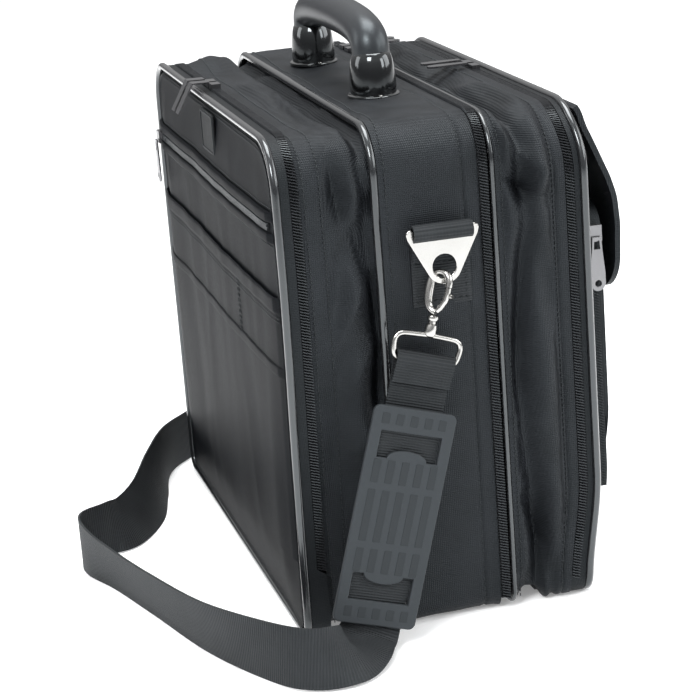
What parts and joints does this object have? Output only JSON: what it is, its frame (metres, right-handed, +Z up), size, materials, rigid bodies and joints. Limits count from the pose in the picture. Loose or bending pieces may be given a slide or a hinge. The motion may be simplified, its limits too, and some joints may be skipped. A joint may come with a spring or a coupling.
{
  "type": "soft pilot flight bag",
  "caption": "Upright soft-sided flight bag with zipped compartments, a tubular carrying handle, a rear flap pocket and a clip-on shoulder strap with a pad.",
  "frame": {"origin": "centre of the bag's underside, where it stands, left to right and front to back without the shoulder strap", "axes": "+X along the bag's width towards the end with the shoulder pad, -Y out of the front cover with the label, +Y out of the rear flap pocket, +Z up"},
  "size_m": [0.5242, 0.3548, 0.3934],
  "materials": {
    "ballistic_nylon": "coarse basket weave, satin black",
    "panel_nylon": "fine weave, satin black",
    "lining": "plain woven lining",
    "piping_vinyl": "glossy vinyl piping",
    "zip_coil": "moulded nylon coil on woven tape",
    "strap_webbing": "ribbed polyester webbing",
    "grip_rubber": "soft satin rubber",
    "cap_plastic": "high gloss black",
    "pad_rubber": "matte moulded rubber with raised bars",
    "label_plain": "plain woven label with a plain border",
    "nickel": "polished nickel",
    "gunmetal": "dark nickel"
  },
  "bodies": {
    "case": {"main_body": "ballistic_nylon", "main_piping": "piping_vinyl", "main_zip_inner": "zip_coil", "laptop_divider": "lining", "front_gusset": "ballistic_nylon", "front_zip_inner": "zip_coil", "front_foot": "panel_nylon", "handle_grip": "grip_rubber", "handle_cap_near": "cap_plastic", "handle_cap_far": "cap_plastic", "near_webbing_patch": "strap_webbing", "far_webbing_patch": "strap_webbing", "shoulder_strap": "strap_webbing"},
    "front_cover": {"front_panel": "panel_nylon", "front_piping": "piping_vinyl", "front_zip_outer": "zip_coil", "pocket_zip": "zip_coil", "slip_pocket": "panel_nylon", "label_patch": "label_plain"},
    "rear_section": {"rear_section": "ballistic_nylon", "section_piping": "piping_vinyl", "main_zip_outer": "zip_coil", "rear_zip_inner": "zip_coil", "organiser_panel": "lining", "rear_foot": "panel_nylon"},
    "rear_cover": {"rear_panel": "panel_nylon", "rear_piping": "piping_vinyl", "rear_zip_outer": "zip_coil", "rear_pocket": "panel_nylon", "side_zip": "zip_coil"},
    "flap": {"flap": "panel_nylon"},
    "shoulder_pad": {"shoulder_pad": "pad_rubber"},
    "strap_adjuster": {"strap_adjuster": "nickel"},
    "front_slider_1": {"front_slider_1": "gunmetal"},
    "front_puller_1": {"front_puller_1": "gunmetal"},
    "front_slider_2": {"front_slider_2": "gunmetal"},
    "front_puller_2": {"front_puller_2": "gunmetal"},
    "main_slider_1": {"main_slider_1": "gunmetal"},
    "main_puller_1": {"main_puller_1": "gunmetal"},
    "main_slider_2": {"main_slider_2": "gunmetal"},
    "main_puller_2": {"main_puller_2": "gunmetal"},
    "rear_slider_1": {"rear_slider_1": "gunmetal"},
    "rear_puller_1": {"rear_puller_1": "gunmetal"},
    "rear_slider_2": {"rear_slider_2": "gunmetal"},
    "rear_puller_2": {"rear_puller_2": "gunmetal"},
    "pocket_slider": {"pocket_slider": "gunmetal"},
    "pocket_puller": {"pocket_puller": "gunmetal"},
    "side_slider": {"side_slider": "nickel"},
    "side_puller": {"side_puller": "nickel"},
    "near_ring": {"near_ring": "nickel"},
    "near_hook": {"near_hook": "nickel"},
    "near_hook_gate": {"near_hook_gate": "nickel"},
    "near_swivel": {"near_swivel_loop": "nickel", "near_strap_end": "strap_webbing"},
    "far_ring": {"far_ring": "nickel"},
    "far_hook": {"far_hook": "nickel"},
    "far_hook_gate": {"far_hook_gate": "nickel"},
    "far_swivel": {"far_swivel_loop": "nickel", "far_strap_end": "strap_webbing"}
  },
  "joints": [
    {"name": "front_cover_hinge", "type": "hinge", "parent": "case", "child": "front_cover", "pos_m": [0, -0.1125, 0.047], "axis": [1, 0, 0], "range_deg": [0, 70]},
    {"name": "rear_section_hinge", "type": "hinge", "parent": "case", "child": "rear_section", "pos_m": [0, 0.0965, 0], "axis": [-1, 0, 0], "range_deg": [0, 18]},
    {"name": "rear_cover_hinge", "type": "hinge", "parent": "rear_section", "child": "rear_cover", "pos_m": [0, 0.098, 0.041], "axis": [-1, 0, 0], "range_deg": [0, 65]},
    {"name": "flap_hinge", "type": "hinge", "parent": "rear_cover", "child": "flap", "pos_m": [0, 0.0982, 0.3285], "axis": [1, 0, 0], "range_deg": [0, 100]},
    {"name": "front_slider_1_slide", "type": "slide", "parent": "front_cover", "child": "front_slider_1", "axis": [1, 0, 0], "range_m": [0, 0.18]},
    {"name": "front_puller_1_hinge", "type": "hinge", "parent": "front_slider_1", "child": "front_puller_1", "pos_m": [-0.03, -0.10145, 0.3376], "axis": [-1, 0, 0], "range_deg": [0, 80]},
    {"name": "front_slider_2_slide", "type": "slide", "parent": "front_cover", "child": "front_slider_2", "axis": [1, 0, 0], "range_m": [-0.1, 0]},
    {"name": "front_puller_2_hinge", "type": "hinge", "parent": "front_slider_2", "child": "front_puller_2", "pos_m": [-0.045, -0.10145, 0.3376], "axis": [-1, 0, 0], "range_deg": [0, 80]},
    {"name": "main_slider_1_slide", "type": "slide", "parent": "rear_section", "child": "main_slider_1", "axis": [1, 0, 0], "range_m": [0, 0.27]},
    {"name": "main_puller_1_hinge", "type": "hinge", "parent": "main_slider_1", "child": "main_puller_1", "pos_m": [-0.118, 0.03145, 0.3386], "axis": [1, 0, 0], "range_deg": [0, 110]},
    {"name": "main_slider_2_slide", "type": "slide", "parent": "rear_section", "child": "main_slider_2", "axis": [1, 0, 0], "range_m": [-0.02, 0]},
    {"name": "main_puller_2_hinge", "type": "hinge", "parent": "main_slider_2", "child": "main_puller_2", "pos_m": [-0.133, 0.03145, 0.3386], "axis": [1, 0, 0], "range_deg": [0, 110]},
    {"name": "rear_slider_1_slide", "type": "slide", "parent": "rear_cover", "child": "rear_slider_1", "axis": [1, 0, 0], "range_m": [0, 0.15]},
    {"name": "rear_puller_1_hinge", "type": "hinge", "parent": "rear_slider_1", "child": "rear_puller_1", "pos_m": [0.003, 0.08045, 0.3356], "axis": [-1, 0, 0], "range_deg": [0, 110]},
    {"name": "rear_slider_2_slide", "type": "slide", "parent": "rear_cover", "child": "rear_slider_2", "axis": [1, 0, 0], "range_m": [-0.14, 0]},
    {"name": "rear_puller_2_hinge", "type": "hinge", "parent": "rear_slider_2", "child": "rear_puller_2", "pos_m": [-0.013, 0.08045, 0.3356], "axis": [-1, 0, 0], "range_deg": [0, 110]},
    {"name": "pocket_slider_slide", "type": "slide", "parent": "front_cover", "child": "pocket_slider", "axis": [1, 0, 0], "range_m": [0, 0.33]},
    {"name": "pocket_puller_hinge", "type": "hinge", "parent": "pocket_slider", "child": "pocket_puller", "pos_m": [-0.166, -0.1194, 0.277], "axis": [-1, 0, 0], "range_deg": [0, 100]},
    {"name": "side_slider_slide", "type": "slide", "parent": "rear_cover", "child": "side_slider", "axis": [0, 0, 1], "range_m": [-0.165, 0]},
    {"name": "side_puller_hinge", "type": "hinge", "parent": "side_slider", "child": "side_puller", "pos_m": [0.1794, 0.1065, 0.243], "axis": [0, -1, 0], "range_deg": [0, 100]},
    {"name": "near_ring_hinge", "type": "hinge", "parent": "case", "child": "near_ring", "pos_m": [0.2035, -0.005, 0.2655], "axis": [0, -1, 0], "range_deg": [0, 25]},
    {"name": "near_hook_tilt", "type": "hinge", "parent": "near_ring", "child": "near_hook", "pos_m": [0.2035, -0.0065, 0.2331], "axis": [0, -1, 0], "range_deg": [0, 18]},
    {"name": "near_gate_hinge", "type": "hinge", "parent": "near_hook", "child": "near_hook_gate", "pos_m": [0.20962, -0.00732, 0.22055], "axis": [0.7049, -0.6598, 0.2605], "range_deg": [0, 22], "stiffness_Nm_per_rad": 0.02},
    {"name": "near_swivel_turn", "type": "hinge", "parent": "near_hook", "child": "near_swivel", "pos_m": [0.20576, -0.01478, 0.21213], "axis": [-0.0794, 0.2916, 0.9532], "range_deg": [-12, 12]},
    {"name": "far_ring_hinge", "type": "hinge", "parent": "case", "child": "far_ring", "pos_m": [-0.2035, -0.005, 0.2655], "axis": [0, 1, 0], "range_deg": [0, 25]},
    {"name": "far_hook_tilt", "type": "hinge", "parent": "far_ring", "child": "far_hook", "pos_m": [-0.2035, -0.005, 0.2331], "axis": [0, 1, 0], "range_deg": [0, 18]},
    {"name": "far_gate_hinge", "type": "hinge", "parent": "far_hook", "child": "far_hook_gate", "pos_m": [-0.20981, -0.01021, 0.22134], "axis": [-0.7042, 0.7087, 0.0423], "range_deg": [0, 22], "stiffness_Nm_per_rad": 0.02},
    {"name": "far_swivel_turn", "type": "hinge", "parent": "far_hook", "child": "far_swivel", "pos_m": [-0.20606, -0.00585, 0.21093], "axis": [0.09, 0.03, 0.9955], "range_deg": [-12, 12]},
    {"name": "shoulder_pad_slide", "type": "slide", "parent": "case", "child": "shoulder_pad", "axis": [-0.0794, 0.2916, 0.9532], "range_m": [0, 0.008]},
    {"name": "strap_adjuster_slide", "type": "slide", "parent": "case", "child": "strap_adjuster", "axis": [-0.0794, 0.2916, 0.9532], "range_m": [0, 0.02]}
  ]
}
